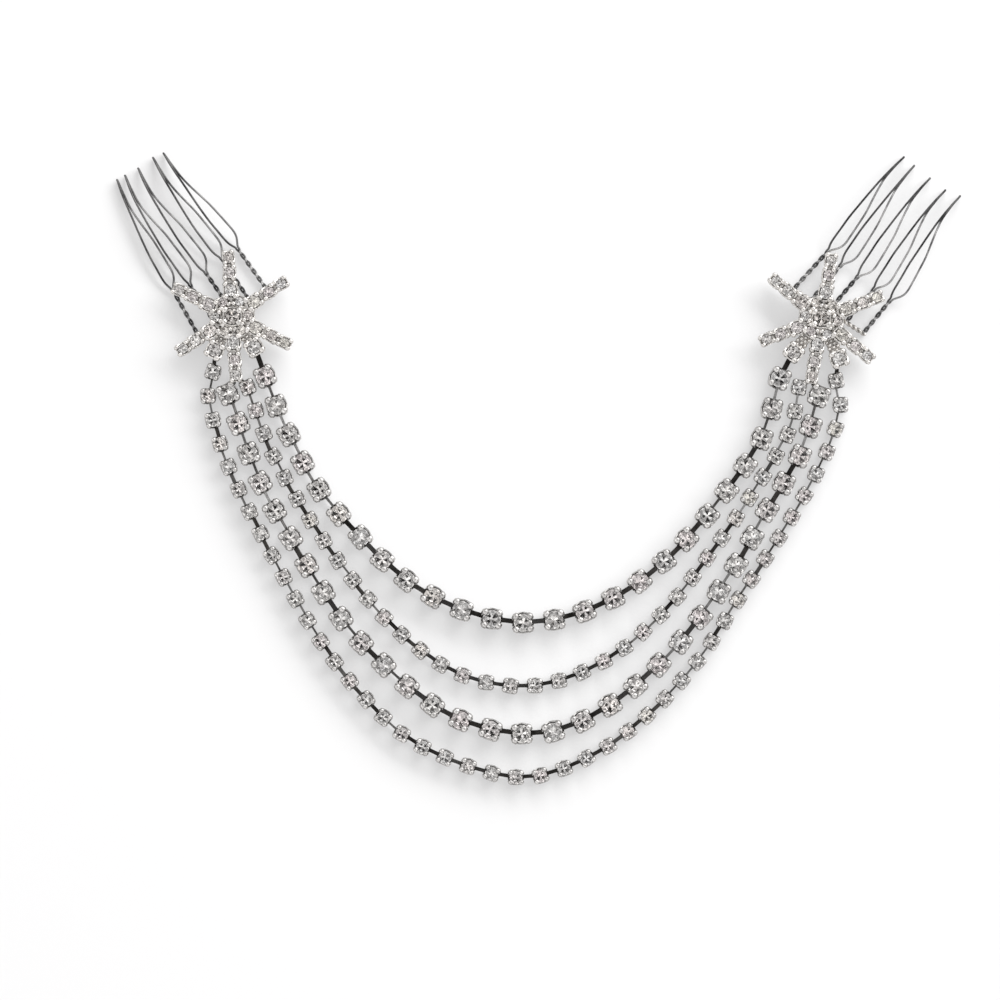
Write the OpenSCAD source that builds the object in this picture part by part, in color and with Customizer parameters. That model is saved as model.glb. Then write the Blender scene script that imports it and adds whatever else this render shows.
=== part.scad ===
// A hair chain lying flat, face up. Four strands of rhinestone cup chain hang
// between two six-armed stars, and each star sits on a comb of twisted wire
// with five doubled teeth. X runs to the right, Y towards the teeth, Z up.

/* [Layout] */
// Distance between the middles of the two stars
star_span = 135; // [120:1:150]
// How far the lowest strand hangs below the stars' middles
drape = 105.5; // [95:0.5:120]
// How much closer to the middle the strands end than the stars' middles lie
end_inset = 2.125; // [1.75:0.125:2.75]

/* [Large chains] */
// Outer diameter of a cup on the first and third strands
large_cup_d = 4.9; // [4.3:0.1:5]
// Height of that cup's wall
large_cup_h = 2.5; // [2:0.1:3.2]
// Bare link between two large cups
large_gap = 2.3; // [1.7:0.1:3]
// Width of a large link
large_link_w = 1.15; // [0.8:0.05:1.3]
// Thickness of a large link
large_link_t = 0.5; // [0.35:0.05:0.6]

/* [Small chains] */
// Outer diameter of a cup on the second and fourth strands
small_cup_d = 3.75; // [3.3:0.05:3.9]
// Height of that cup's wall
small_cup_h = 2; // [1.8:0.1:2.6]
// Bare link between two small cups
small_gap = 1.9; // [1.5:0.1:2.6]
// Width of a small link
small_link_w = 0.9; // [0.6:0.05:1]
// Thickness of a small link
small_link_t = 0.4; // [0.3:0.05:0.5]

/* [Cups] */
// Wall of every cup
cup_wall = 0.3; // [0.2:0.05:0.35]
// Floor of every cup
cup_floor = 0.35; // [0.25:0.05:0.5]
// Width and height of the slope round a cup's foot
foot_slope = 0.4; // [0.2:0.05:0.5]
// Play round a link's head inside its cup
link_play = 0.15; // [0.1:0.05:0.2]
// Length of a link's head
head_l = 0.6; // [0.4:0.05:0.7]
// How far the head stands out on each side of its link
head_lip = 0.3; // [0.15:0.05:0.35]

/* [Stones] */
// Clearance between a star's stone and its cup
stone_play = 0.12; // [0.1:0.01:0.15]
// How far a stone's girdle lies below the top of its cup's wall
girdle_drop = 0.1; // [0.05:0.05:0.3]

/* [Stars] */
// Cup in the middle of a star
centre_cup_d = 4.4; // [3.8:0.1:5]
// Cup in the ring round the middle
ring_cup_d = 2.75; // [2.4:0.05:3]
// Cup at the root of an arm
inner_cup_d = 3.45; // [3:0.05:3.8]
// Cup in the middle of an arm
mid_cup_d = 3.1; // [2.6:0.05:3.4]
// Cup at the tip of an arm
tip_cup_d = 2.9; // [2.4:0.05:3]
// Cup that a strand hangs from, beside the lowest arm
hanger_cup_d = 3.3; // [2.6:0.05:3.5]
// Height of the wall of a star's cups
star_cup_h = 1.9; // [1.6:0.1:2.4]
// Space between neighbouring cups in the middle of a star
cup_space = 0.22; // [0.15:0.01:0.4]
// Space between the first and second cups of an arm
mid_space = 0.75; // [0.4:0.05:1.2]
// Space between the second and third cups of an arm
tip_space = 0.4; // [0.3:0.05:0.9]
// From a star's middle to its hanger cups
hanger_reach = 9.4; // [9:0.1:10.5]
// Thickness of the strips that the cups stand on
strip_t = 0.5; // [0.4:0.05:0.6]
// Width of those strips
strip_w = 1.3; // [0.9:0.1:1.8]

/* [Combs] */
// Diameter of a comb's wire
wire_d = 0.5; // [0.4:0.02:0.56]
// Diameter of the cross bar that carries the teeth
bar_d = 1.2; // [1.15:0.05:1.6]
// Distance between two teeth along the cross bar
tooth_pitch = 4.75; // [4.4:0.05:5.2]
// Length of the twisted stem of a tooth
stem_l = 11.6; // [9:0.2:14]
// Length of the open part of a tooth
tooth_l = 28.6; // [22:0.2:34]
// Width of a tooth where it is widest, between its wires
tooth_w = 2.8; // [2:0.1:3.2]
// How far a tooth sways to the side
tooth_sway = 0.6; // [0:0.1:1]
// How far a tooth's middle rises above its ends
tooth_rise = 1.6; // [0:0.1:3]
// Length of one turn of the twisted wires
twist_pitch = 4.3; // [3.6:0.1:6]
// Clearance between the two twisted wires
twist_play = 0.08; // [0.05:0.01:0.1]
// Clearance between a comb and the star above it
comb_play = 0.12; // [0.1:0.01:0.3]

/* [Hidden] */
LEFT = 0;
RIGHT = 1;

SILVER = "silver";
CRYSTAL = "whitesmoke";
DARK = "#262424";
WIRE = "#8c8c8c";

// The two chains: cup diameter, cup height, bare link, link width, thickness
CUP_D = 0;
CUP_H = 1;
GAP = 2;
LINK_W = 3;
LINK_T = 4;
LARGE = [large_cup_d, large_cup_h, large_gap, large_link_w, large_link_t];
SMALL = [small_cup_d, small_cup_h, small_gap, small_link_w, small_link_t];
STRAND_CHAIN = [LARGE, SMALL, LARGE, SMALL];

// Routes of the four strands, from the left star to the right one: points
// that the cups' centres pass through, from halfway between the stars
STRAND_ROUTES = [
    [[-60, -13.5], [-55, -26], [-48, -39], [-38.5, -50], [-28, -60],
     [-15, -67], [-1, -70], [13, -67.5], [26, -60.5], [37, -50.5],
     [46, -39.5], [54, -27.5], [58, -14]],
    [[-64, -16], [-58.5, -31], [-50, -46], [-40.5, -59.5], [-29, -72.5],
     [-15, -82], [1.5, -84.5], [17.5, -79], [31, -68], [41.5, -55],
     [51, -41.5], [60, -26.5], [62.5, -16]],
    [[-68.5, -17.5], [-61.5, -37], [-54.5, -50], [-43, -68.5], [-33, -79.5],
     [-21.5, -89], [-8.5, -94.5], [6, -95], [19, -89], [31, -79],
     [40, -68.5], [48.5, -56], [55.5, -43.5], [63, -31], [67, -18]],
    [[-72, -12.5], [-73, -19], [-68.5, -34], [-58.5, -54.5], [-47.5, -74],
     [-37, -87.5], [-24, -98.5], [-2.5, -105.5], [14, -101], [28, -91],
     [39.5, -78.5], [49, -64], [61, -45.5], [69, -30.5], [72, -20],
     [71, -14.5]]
];
// Where another span or drape carries the points along, those farther out
// than ROUTE_SIDE move the whole way with their star, and those higher than
// ROUTE_TOP keep their height
ROUTE_SIDE = 25;
ROUTE_TOP = -20;
// Steps between two points of a route
ROUTE_STEPS = 12;

// The stars: x as a share of star_span, y, direction of the lowest arm, how
// far the left and the right hanger cups are turned from it, and their reach
// as a share
STARS = [
    [-0.5, 0.2, 273.5, [-30.5, 32], 0.93],
    [0.5, -0.3, 260.7, [-30, 33], 1.07]
];
ARMS = 6;
HALF_TURN = 180;
ARM_TURN = 360 / ARMS;

// The combs: middle of the cross bar from the star's centre, and its
// direction
COMBS = [
    [[0.3, 0.5], 31],
    [[1.8, 1.8], -32.3]
];
// The teeth: turn of the stem from the bar's normal, its length as a share
// of stem_l, turn of the open part, its length as a share of tooth_l, its
// sway as a share of tooth_sway, and its rise as a share of tooth_rise
TEETH = [
    [[-1.5, 1.05, -4.2, 1, 0.7, 0.4], [2, 0.96, -0.2, 1.03, 1.2, 1], [3, 1, 2, 1.01, 1, 1],
     [2.5, 1.08, 3.3, 0.99, 0.7, 1], [4.5, 1.09, 6.9, 0.98, 0.6, 1]],
    [[-10, 1.02, -6.6, 0.98, 1, 1], [-8.5, 0.92, -4, 1, 0.7, 1], [-8, 0.9, -4, 0.99, 1, 1],
     [-8, 0.86, -3.5, 0.99, 1.1, 1], [-7, 0.84, -1.5, 1.02, 1.2, 1]]
];
// Form of a tooth: share of its length, half width as a share of the widest,
// sway as a share of tooth_sway
TOOTH_FORM = [
    [0, 0, 0], [0.04, 0.45, -0.3], [0.08, 0.82, -0.7], [0.13, 1, -0.9],
    [0.21, 1, -0.7], [0.32, 0.96, -0.3], [0.44, 0.82, 0], [0.56, 0.58, 0.5],
    [0.68, 0.38, 0.9], [0.8, 0.3, 1], [0.86, 0.2, 0.9], [0.9, 0, 0.7],
    [0.94, 0, 0.5], [0.97, 0, 0.2], [1, 0, 0]
];
// The legs of a tooth change sides between these shares of its length
CROSS_START = 0.82;
CROSS_END = 0.97;
// The eye at a tooth's tip is this much wider than the twist
EYE_SHARE = 1.1;
WIRE_SIDES = 5;
TURN_RINGS = 6;
EYE_RINGS = 3;

// Cut of a stone, as shares of its width
STONE_SIDES = 8;
TABLE_SHARE = 0.58;
CROWN_SHARE = 0.16;

// Claws of a cup, as shares of its diameter
CLAWS = 4;
CLAW_H = 0.14;
CLAW_T = 0.05;
CLAW_W = 0.17;
CLAW_REACH = 0.07;
// How deep joined pieces of one solid run into each other
BITE = 0.2;

twist_r = (wire_d + twist_play) / 2;
eye_r = twist_r * EYE_SHARE;
comb_h = max(bar_d, 2 * twist_r + wire_d);
star_z = comb_h + comb_play;
star_rim = star_z + star_cup_h;
link_z = cup_floor + link_play;

// Radii of a star's cups, from its centre
ring_r = (centre_cup_d + ring_cup_d) / 2 + cup_space;
ring_to_inner = (ring_cup_d + inner_cup_d) / 2 + cup_space;
ring_side = ring_r * sin(ARM_TURN / 2);
inner_r = ring_r * cos(ARM_TURN / 2) + sqrt(pow(ring_to_inner, 2) - pow(ring_side, 2));
mid_r = inner_r + (inner_cup_d + mid_cup_d) / 2 + mid_space;
tip_r = mid_r + (mid_cup_d + tip_cup_d) / 2 + tip_space;

// A direction in the plane, of length 1
function heading(a) = [cos(a), sin(a)];
function direction(from, to) = atan2(to[1] - from[1], to[0] - from[0]);
function unit(v) = v / norm(v);
function last(list) = list[len(list) - 1];

// A smooth curve through the points of a route
function with_ends(p) = concat([2 * p[0] - p[1]], p, [2 * last(p) - p[len(p) - 2]]);
function bend(a, b, c, d, t) = b + ((c - a) * t + (2 * a - 5 * b + 4 * c - d) * t * t
    + (3 * b - a - 3 * c + d) * t * t * t) / 2;
function smooth(p) = let (e = with_ends(p)) concat(
    [for (i = [0:len(p) - 2]) for (k = [0:ROUTE_STEPS - 1])
        bend(e[i], e[i + 1], e[i + 2], e[i + 3], k / ROUTE_STEPS)],
    [last(p)]);
function run(p) = [
    for (i = 0, s = 0; i < len(p); s = s + (i < len(p) - 1 ? norm(p[i + 1] - p[i]) : 0), i = i + 1) s
];

// The routes as listed span and hang this far, and are carried along by the
// difference to the span and drape that are asked for
function clamp(v, low, high) = max(low, min(high, v));
function mean(list) = list * [for (v = list) 1] / len(list);
listed_span = mean([for (r = STRAND_ROUTES) last(r)[0] - r[0][0]]);
listed_drape = -min([for (r = STRAND_ROUTES) for (p = r) p[1]]);
function side_share(x) = clamp(x / ROUTE_SIDE, -1, 1);
function depth_share(y) = clamp((ROUTE_TOP - y) / (ROUTE_TOP + listed_drape), 0, 1);
function carried(p) = [
    p[0] + side_share(p[0]) * (star_span - 2 * end_inset - listed_span) / 2,
    p[1] - depth_share(p[1]) * (drape - listed_drape)
];
function route(i) = [for (p = STRAND_ROUTES[i]) carried(p)];

// Centres of a strand's cups, evenly spaced along its route
function pitch(c) = c[CUP_D] + c[GAP];
function evenly(line, s, total, n) = let (
    xs = [for (i = [0:len(line) - 1]) [s[i], line[i][0]]],
    ys = [for (i = [0:len(line) - 1]) [s[i], line[i][1]]])
    [for (k = [0:n]) [lookup(total * k / n, xs), lookup(total * k / n, ys)]];
function cup_spots(i) = let (
    line = smooth(route(i)),
    s = run(line))
    evenly(line, s, last(s), round(last(s) / pitch(STRAND_CHAIN[i])));
SPOTS = [for (i = [0:len(STRAND_ROUTES) - 1]) cup_spots(i)];

// Places on a star
function star_at(side) = [STARS[side][0] * star_span, STARS[side][1]];
function arm_dir(side, arm) = STARS[side][2] + arm * ARM_TURN;
function gap_dir(side, arm) = arm_dir(side, arm) + ARM_TURN / 2;
function hanger_dir(side, h) = STARS[side][2] + STARS[side][3][h];
function hanger_r(side) = hanger_reach * STARS[side][4];
function hanger(side, h) = star_at(side) + hanger_r(side) * heading(hanger_dir(side, h));
function ring_seats(side) = [
    for (arm = [0:ARMS - 1]) concat(star_at(side) + ring_r * heading(gap_dir(side, arm)), ring_cup_d)
];
function arm_seats(side) = [
    for (arm = [0:ARMS - 1], seat = [[inner_r, inner_cup_d], [mid_r, mid_cup_d], [tip_r, tip_cup_d]])
        concat(star_at(side) + seat[0] * heading(arm_dir(side, arm)), seat[1])
];
function hanger_seats(side) = [
    for (h = [0, 1]) concat(hanger(side, h), hanger_cup_d)
];
function centre_seat(side) = concat(star_at(side), centre_cup_d);
function star_seats(side) = concat(
    [centre_seat(side)], ring_seats(side), arm_seats(side), hanger_seats(side));

// The outer strands hang from the hanger cups, the two between them from the
// tip of the lowest arm
function low_tip(side) = star_at(side) + tip_r * heading(arm_dir(side, 0));
function anchor(side, i) =
    i == 0 ? hanger(side, side == LEFT ? 1 : 0) :
    i == 3 ? hanger(side, side == LEFT ? 0 : 1) : low_tip(side);

// Places on a comb
function bar_middle(side) = star_at(side) + COMBS[side][0];
function bar_dir(side) = COMBS[side][1];
function bar_point(side, s) = bar_middle(side) + s * heading(bar_dir(side));
function tooth_count(side) = len(TEETH[side]);
function bar_place(side, k) = (k - (tooth_count(side) - 1) / 2) * tooth_pitch;
function comb_foot(side, k) = bar_point(side, bar_place(side, k));
function stem_dir(side, k) = bar_dir(side) + 90 + TEETH[side][k][0];
function stem_length(side, k) = stem_l * TEETH[side][k][1];
function neck(side, k) = comb_foot(side, k) + stem_length(side, k) * heading(stem_dir(side, k));
function tooth_dir(side, k) = bar_dir(side) + 90 + TEETH[side][k][2];
function tooth_length(side, k) = tooth_l * TEETH[side][k][3] - eye_r - wire_d / 2;

// The wire of a tooth goes up one side and comes back down the other. A
// point beside the line from a place along a direction: side_way is how far
// to the left, up is its height over the comb's middle plane
function beside(place, dir, along, side_way, up) = concat(
    place + along * heading(dir) + side_way * heading(dir + 90), comb_h / 2 + up);
function stem_point(side, k, share, way) = let (
    l = stem_length(side, k),
    turn = 360 * l * (share - 1) / twist_pitch)
    beside(comb_foot(side, k), stem_dir(side, k), l * share,
        way * twist_r * cos(turn), way * twist_r * sin(turn));
function form(share, column) = lookup(share, [for (row = TOOTH_FORM) [row[0], row[column]]]);
function crossing(share) = let (t = clamp((share - CROSS_START) / (CROSS_END - CROSS_START), 0, 1))
    HALF_TURN * t * t * (3 - 2 * t);
function eye_share(share) = share < CROSS_END ? 1 : EYE_SHARE;
function tooth_point(side, k, share, way) = let (
    half = max(twist_r * eye_share(share), form(share, 1) * tooth_w / 2),
    turn = crossing(share))
    beside(neck(side, k), tooth_dir(side, k), tooth_length(side, k) * share,
        form(share, 2) * TEETH[side][k][4] * tooth_sway + way * half * cos(turn),
        TEETH[side][k][5] * tooth_rise * sin(HALF_TURN * share) + way * half * sin(turn));
function eye_point(side, k, turn) = beside(neck(side, k), tooth_dir(side, k),
    tooth_length(side, k) + eye_r * sin(turn), -eye_r * cos(turn), 0);
function leg(side, k, way) = let (n = ceil(TURN_RINGS * stem_length(side, k) / twist_pitch)) concat(
    [for (i = [0:n - 1]) stem_point(side, k, i / n, way)],
    [for (row = TOOTH_FORM) tooth_point(side, k, row[0], way)]);
function backwards(list) = [for (i = [len(list) - 1:-1:0]) list[i]];
function tooth_path(side, k) = concat(
    leg(side, k, 1),
    [for (i = [1:EYE_RINGS]) eye_point(side, k, HALF_TURN * i / (EYE_RINGS + 1))],
    backwards(leg(side, k, -1)));

// The model is centred on its own outline
COMB_PATHS = [for (side = [LEFT, RIGHT]) [for (k = [0:tooth_count(side) - 1]) tooth_path(side, k)]];
function tooth_reach(side, axis) = [for (path = COMB_PATHS[side]) for (p = path) p[axis]];
x_low = min(tooth_reach(LEFT, 0)) - wire_d / 2;
x_high = max(tooth_reach(RIGHT, 0)) + wire_d / 2;
y_high = max(concat(tooth_reach(LEFT, 1), tooth_reach(RIGHT, 1))) + wire_d / 2;
y_low = min([for (p = SPOTS[3]) p[1]]) - small_cup_d / 2;
centring = [-(x_low + x_high) / 2, -(y_low + y_high) / 2, 0];

// The link's head and the pocket that it plays in, from a cup's centre
function room_w(c) = c[LINK_W] + 2 * head_lip + 2 * link_play;
function room_far(c) = sqrt(pow(c[CUP_D] / 2 - cup_wall, 2) - pow(room_w(c) / 2, 2));
function head_far(c) = room_far(c) - link_play;
function head_near(c) = head_far(c) - head_l;

module cup(d, h) {
    rotate_extrude() polygon([
        [0, 0], [d / 2 - foot_slope, 0], [d / 2, foot_slope], [d / 2, h], [0, h]
    ]);
}

// Four claws that rise from a cup's wall and lean over its stone
module claws(d, rim) {
    outside = (d - cup_wall / 2) / 2;
    inside = (d - cup_wall * 3 / 2) / 2;
    over = d / 2 - cup_wall - stone_play - CLAW_REACH * d;
    top = rim + CLAW_H * d;
    intersection() {
        rotate_extrude() polygon([
            [outside, rim - BITE], [outside, top], [over, top], [over, top - CLAW_T * d],
            [inside, top - CLAW_T * d], [inside, rim - BITE]
        ]);
        for (k = [0:CLAWS - 1]) rotate(360 / CLAWS * (k + 1 / 2))
            translate([0, -CLAW_W * d / 2, rim - BITE]) cube([d, CLAW_W * d, top]);
    }
}

// A flat-backed stone with a table and eight crown facets
module stone(w, bottom, girdle) {
    translate([0, 0, bottom]) cylinder(d = w, h = girdle - bottom, $fn = STONE_SIDES);
    translate([0, 0, girdle])
        cylinder(d1 = w, d2 = w * TABLE_SHARE, h = w * CROWN_SHARE, $fn = STONE_SIDES);
}

// A flat link from a cup to the head that the next cup holds
module link(c, start, reach) {
    end = reach - head_near(c);
    head_w = c[LINK_W] + 2 * head_lip;
    translate([start, -c[LINK_W] / 2, link_z]) cube([end - start, c[LINK_W], c[LINK_T]]);
    translate([end - head_l, -head_w / 2, link_z]) cube([head_l, head_w, c[LINK_T]]);
}

// The room in a cup for the head of the link before it
module head_pocket(c) {
    near = head_near(c) - link_play;
    slot_w = c[LINK_W] + 2 * link_play;
    high = c[LINK_T] + 2 * link_play;
    translate([near, -room_w(c) / 2, cup_floor]) cube([room_far(c) - near, room_w(c), high]);
    translate([near, -slot_w / 2, cup_floor]) cube([c[CUP_D], slot_w, high]);
}

// A cup with its stone, its own link if another cup follows, and a pocket
// towards each link that ends in it
module chain_cup(c, reach, ahead, pockets) {
    color(SILVER) difference() {
        union() {
            cup(c[CUP_D], c[CUP_H]);
            claws(c[CUP_D], c[CUP_H]);
        }
        for (a = pockets) rotate(a) head_pocket(c);
    }
    color(CRYSTAL) stone(c[CUP_D] - 2 * cup_wall, c[CUP_H] - girdle_drop - BITE, c[CUP_H] - girdle_drop);
    if (reach > 0) color(DARK) rotate(ahead) link(c, c[CUP_D] / 2 - cup_wall, reach);
}

module strand(i) {
    c = STRAND_CHAIN[i];
    p = SPOTS[i];
    n = len(p) - 1;
    for (k = [0:n]) {
        before = k == 0 ? anchor(LEFT, i) : p[k - 1];
        after = k == n ? anchor(RIGHT, i) : p[k + 1];
        back = direction(p[k], before);
        ahead = direction(p[k], after);
        translate(concat(p[k], 0)) chain_cup(c, k == n ? 0 : norm(after - p[k]), ahead,
            k == n ? [back, ahead] : [back]);
    }
}

// The link that a strand's end cup hangs on, with a post up to its star
module star_link(side, i) {
    c = STRAND_CHAIN[i];
    from = anchor(side, i);
    to = side == LEFT ? SPOTS[i][0] : last(SPOTS[i]);
    w = c[LINK_W];
    translate(concat(from, 0)) rotate(direction(from, to)) {
        link(c, -w / 2, norm(to - from));
        translate([-w / 2, -w / 2, link_z]) cube([w, w, star_z + BITE - link_z]);
    }
}

module strip(side, dir, length) {
    translate(concat(star_at(side), star_z)) rotate(dir)
        translate([0, -strip_w / 2, 0]) cube([length, strip_w, strip_t]);
}

function stone_w(d) = d - 2 * cup_wall - 2 * stone_play;

module star_setting(side) {
    seats = star_seats(side);
    color(SILVER) {
        difference() {
            union() {
                translate(concat(star_at(side), star_z)) cylinder(r = ring_r, h = strip_t);
                for (arm = [0:ARMS - 1]) strip(side, arm_dir(side, arm), tip_r);
                for (h = [0, 1]) strip(side, hanger_dir(side, h), hanger_r(side));
                for (s = seats) translate([s[0], s[1], star_z]) cup(s[2], star_cup_h);
            }
            for (s = seats) translate([s[0], s[1], star_z + strip_t])
                cylinder(d = s[2] - 2 * cup_wall, h = star_cup_h);
        }
        for (s = seats) translate([s[0], s[1], 0]) rotate(direction(star_at(side), s)) claws(s[2], star_rim);
        for (i = [0:len(STRAND_ROUTES) - 1]) star_link(side, i);
    }
}

module seated(seats) {
    color(CRYSTAL) for (s = seats) translate([s[0], s[1], 0])
        stone(stone_w(s[2]), star_z + strip_t + stone_play, star_rim - girdle_drop);
}

// A wire swept along a path that is never upright
module wire(path) {
    n = len(path);
    rings = [for (i = [0:n - 1]) let (
        along = unit(path[min(i + 1, n - 1)] - path[max(i - 1, 0)]),
        across = unit(cross(along, [0, 0, 1])),
        over = cross(across, along))
        for (k = [0:WIRE_SIDES - 1]) let (a = 360 * k / WIRE_SIDES)
            path[i] + wire_d / 2 * (cos(a) * across + sin(a) * over)];
    walls = [for (i = [0:n - 2], k = [0:WIRE_SIDES - 1]) let (
        a = i * WIRE_SIDES + k,
        b = i * WIRE_SIDES + (k + 1) % WIRE_SIDES)
        for (f = [[a, b, b + WIRE_SIDES], [a, b + WIRE_SIDES, a + WIRE_SIDES]]) f];
    start = [for (k = [WIRE_SIDES - 1:-1:0]) k];
    end = [for (k = [0:WIRE_SIDES - 1]) (n - 1) * WIRE_SIDES + k];
    polyhedron(rings, concat(walls, [start, end]));
}

module comb(side) {
    half = bar_place(side, tooth_count(side) - 1) + bar_d / 2;
    color(WIRE) {
        translate(concat(bar_middle(side), comb_h / 2)) rotate(bar_dir(side)) rotate([0, 90, 0])
            cylinder(d = bar_d, h = 2 * half, center = true);
        for (path = COMB_PATHS[side]) wire(path);
    }
}

module centred() {
    translate(centring) children();
}

centred() strand(0);  // strand_1
centred() strand(1);  // strand_2
centred() strand(2);  // strand_3
centred() strand(3);  // strand_4
centred() star_setting(LEFT);  // star_setting_left
centred() seated([centre_seat(LEFT)]);  // centre_stone_left
centred() seated(ring_seats(LEFT));  // ring_stones_left
centred() seated(arm_seats(LEFT));  // arm_stones_left
centred() seated(hanger_seats(LEFT));  // hanger_stones_left
centred() comb(LEFT);  // comb_left
centred() star_setting(RIGHT);  // star_setting_right
centred() seated([centre_seat(RIGHT)]);  // centre_stone_right
centred() seated(ring_seats(RIGHT));  // ring_stones_right
centred() seated(arm_seats(RIGHT));  // arm_stones_right
centred() seated(hanger_seats(RIGHT));  // hanger_stones_right
centred() comb(RIGHT);  // comb_right
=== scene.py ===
"""The looks of a hair chain that lies flat: four strands of rhinestone cup
chain between two stars, and a twisted wire comb under each star."""

import math
import random

import bmesh
import bpy
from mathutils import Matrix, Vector


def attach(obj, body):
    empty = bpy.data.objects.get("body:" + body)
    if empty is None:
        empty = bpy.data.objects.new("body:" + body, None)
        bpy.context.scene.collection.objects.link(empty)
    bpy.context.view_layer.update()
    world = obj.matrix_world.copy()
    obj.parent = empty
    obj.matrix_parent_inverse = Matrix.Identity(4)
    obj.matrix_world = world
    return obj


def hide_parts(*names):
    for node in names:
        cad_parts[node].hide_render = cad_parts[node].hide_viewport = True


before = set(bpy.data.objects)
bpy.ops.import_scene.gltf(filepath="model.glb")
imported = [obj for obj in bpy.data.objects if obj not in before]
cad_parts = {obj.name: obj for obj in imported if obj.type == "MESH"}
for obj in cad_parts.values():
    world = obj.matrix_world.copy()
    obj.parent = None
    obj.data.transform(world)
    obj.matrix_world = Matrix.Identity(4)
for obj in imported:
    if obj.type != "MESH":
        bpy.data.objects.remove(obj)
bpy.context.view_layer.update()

MM = 0.001
SIDES = ("left", "right")
STRAND_KIND = {"strand_1": "large", "strand_2": "small", "strand_3": "large", "strand_4": "small"}
STRANDS = tuple(STRAND_KIND)

# The cups of the chains: outer width, and full height of the wall, which is cut
# down below that
CUP = {"large": (4.9 * MM, 2.5 * MM), "small": (3.75 * MM, 2.0 * MM)}
CUP_WALL = 0.3 * MM
CUP_FLOOR = 0.35 * MM
FOOT_SLOPE = 0.4 * MM

# Their links: width and thickness. The head at each end lies in a cup
LINK = {"large": (1.15 * MM, 0.5 * MM), "small": (0.9 * MM, 0.4 * MM)}
LINK_PLAY = 0.15 * MM
LINK_EDGE = 0.08 * MM
HEAD_L = 0.6 * MM
HEAD_LIP = 0.3 * MM

# The stars' cups and the strips that carry them
STAR_STONES = ("centre_stone", "ring_stones", "arm_stones", "hanger_stones")
STAR_CUP_H = 1.9 * MM
STAR_STONE_PLAY = 0.12 * MM
STRIP_W = 1.3 * MM
STRIP_T = 0.5 * MM

# Stones: how far the girdle's top lies under the wall's full height, the play
# round a chain's stone, and the heights of the crown, girdle and pavilion as
# shares of the width
GIRDLE_DROP = 0.1 * MM
CHAIN_STONE_PLAY = 0.05 * MM
CROWN_SHARE = 0.16
GIRDLE_SHARE = 0.03
PAVILION_SHARE = 0.4
# How far out the corners of the table, of the kites round it and of the breaks
# in the pavilion lie, as shares of the radius
TABLE_OUT = 0.58
KITE_OUT = 0.8
BREAK_OUT = 0.62


def heading(a):
    """The direction at angle a in the plane."""
    return Vector((math.cos(a), math.sin(a), 0))


def angle_of(way):
    """The angle of a direction in the plane."""
    return math.atan2(way.y, way.x)


def left_of(way):
    """The direction a quarter turn to the left of way."""
    return Vector((-way.y, way.x, 0))


def up(z):
    """A step up by z."""
    return Vector((0, 0, z))


# Reading the seats from the frame

SAME_POINT = 0.001 * MM
FOOT_BAND = 0.01 * MM


def loose_parts(node):
    """The corner points of each loose solid in a node, in no fixed order."""
    bm = bmesh.new()
    bm.from_mesh(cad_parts[node].data)
    bmesh.ops.remove_doubles(bm, verts=bm.verts, dist=SAME_POINT)
    left = set(bm.verts)
    parts = []
    while left:
        todo = [left.pop()]
        part = []
        while todo:
            v = todo.pop()
            part.append(v.co.copy())
            for e in v.link_edges:
                other = e.other_vert(v)
                if other in left:
                    left.remove(other)
                    todo.append(other)
        parts.append(part)
    bm.free()
    return parts


def middle(points):
    """The middle of the points' outline, on the floor, and the outline's width."""
    xs = [p.x for p in points]
    ys = [p.y for p in points]
    centre = Vector(((min(xs) + max(xs)) / 2, (min(ys) + max(ys)) / 2, 0))
    return centre, max(xs) - min(xs)


def cup_spots(node):
    """Centres of a strand's cups, from the left star to the right one."""
    feet = [middle([p for p in part if p.z < FOOT_BAND])[0] for part in loose_parts(node)]
    line = [max((p for p in feet if p.x < 0), key=lambda p: p.y)]
    feet.remove(line[0])
    while feet:
        line.append(min(feet, key=lambda p: (p - line[-1]).length))
        feet.remove(line[-1])
    return line


def star_seats(side, name):
    """Centre and stone width of each of a star's cups for those stones, sorted
    from left to right so that every run gives the same order."""
    seats = [middle(part) for part in loose_parts(f"{name}_{side}")]
    return sorted(seats, key=lambda seat: tuple(seat[0]))


SPOTS = {node: cup_spots(node) for node in STRANDS}
SEATS = {side: {name: star_seats(side, name) for name in STAR_STONES} for side in SIDES}
STAR_AT = {side: SEATS[side]["centre_stone"][0][0] for side in SIDES}


# Nodes


def set_inputs(tree, node, values):
    """Sets a node's inputs to values or to other nodes' outputs."""
    for key, value in values.items():
        if isinstance(value, bpy.types.NodeSocket):
            tree.links.new(value, node.inputs[key])
        else:
            node.inputs[key].default_value = value


def node_in(tree, kind, values=None, **properties):
    """A new node in the tree, with its properties and inputs set."""
    node = tree.nodes.new(kind)
    for key, value in properties.items():
        setattr(node, key, value)
    set_inputs(tree, node, values or {})
    return node


def maths(tree, operation, a, b):
    """What the operation makes of two numbers."""
    return node_in(tree, "ShaderNodeMath", {0: a, 1: b}, operation=operation).outputs["Value"]


def vector_maths(tree, operation, values, output="Vector"):
    """What the operation makes of vectors or colours."""
    return node_in(tree, "ShaderNodeVectorMath", values, operation=operation).outputs[output]


def map_range(tree, value, given, wanted):
    """The value, moved from a given range to a wanted one."""
    node = node_in(tree, "ShaderNodeMapRange", {
        "Value": value, "From Min": given[0], "From Max": given[1],
        "To Min": wanted[0], "To Max": wanted[1]})
    return node.outputs["Result"]


def noise(tree, place, scale, detail):
    """A soft random drift over the place."""
    node = node_in(tree, "ShaderNodeTexNoise", {"Vector": place, "Scale": scale, "Detail": detail})
    return node.outputs["Fac"]


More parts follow.
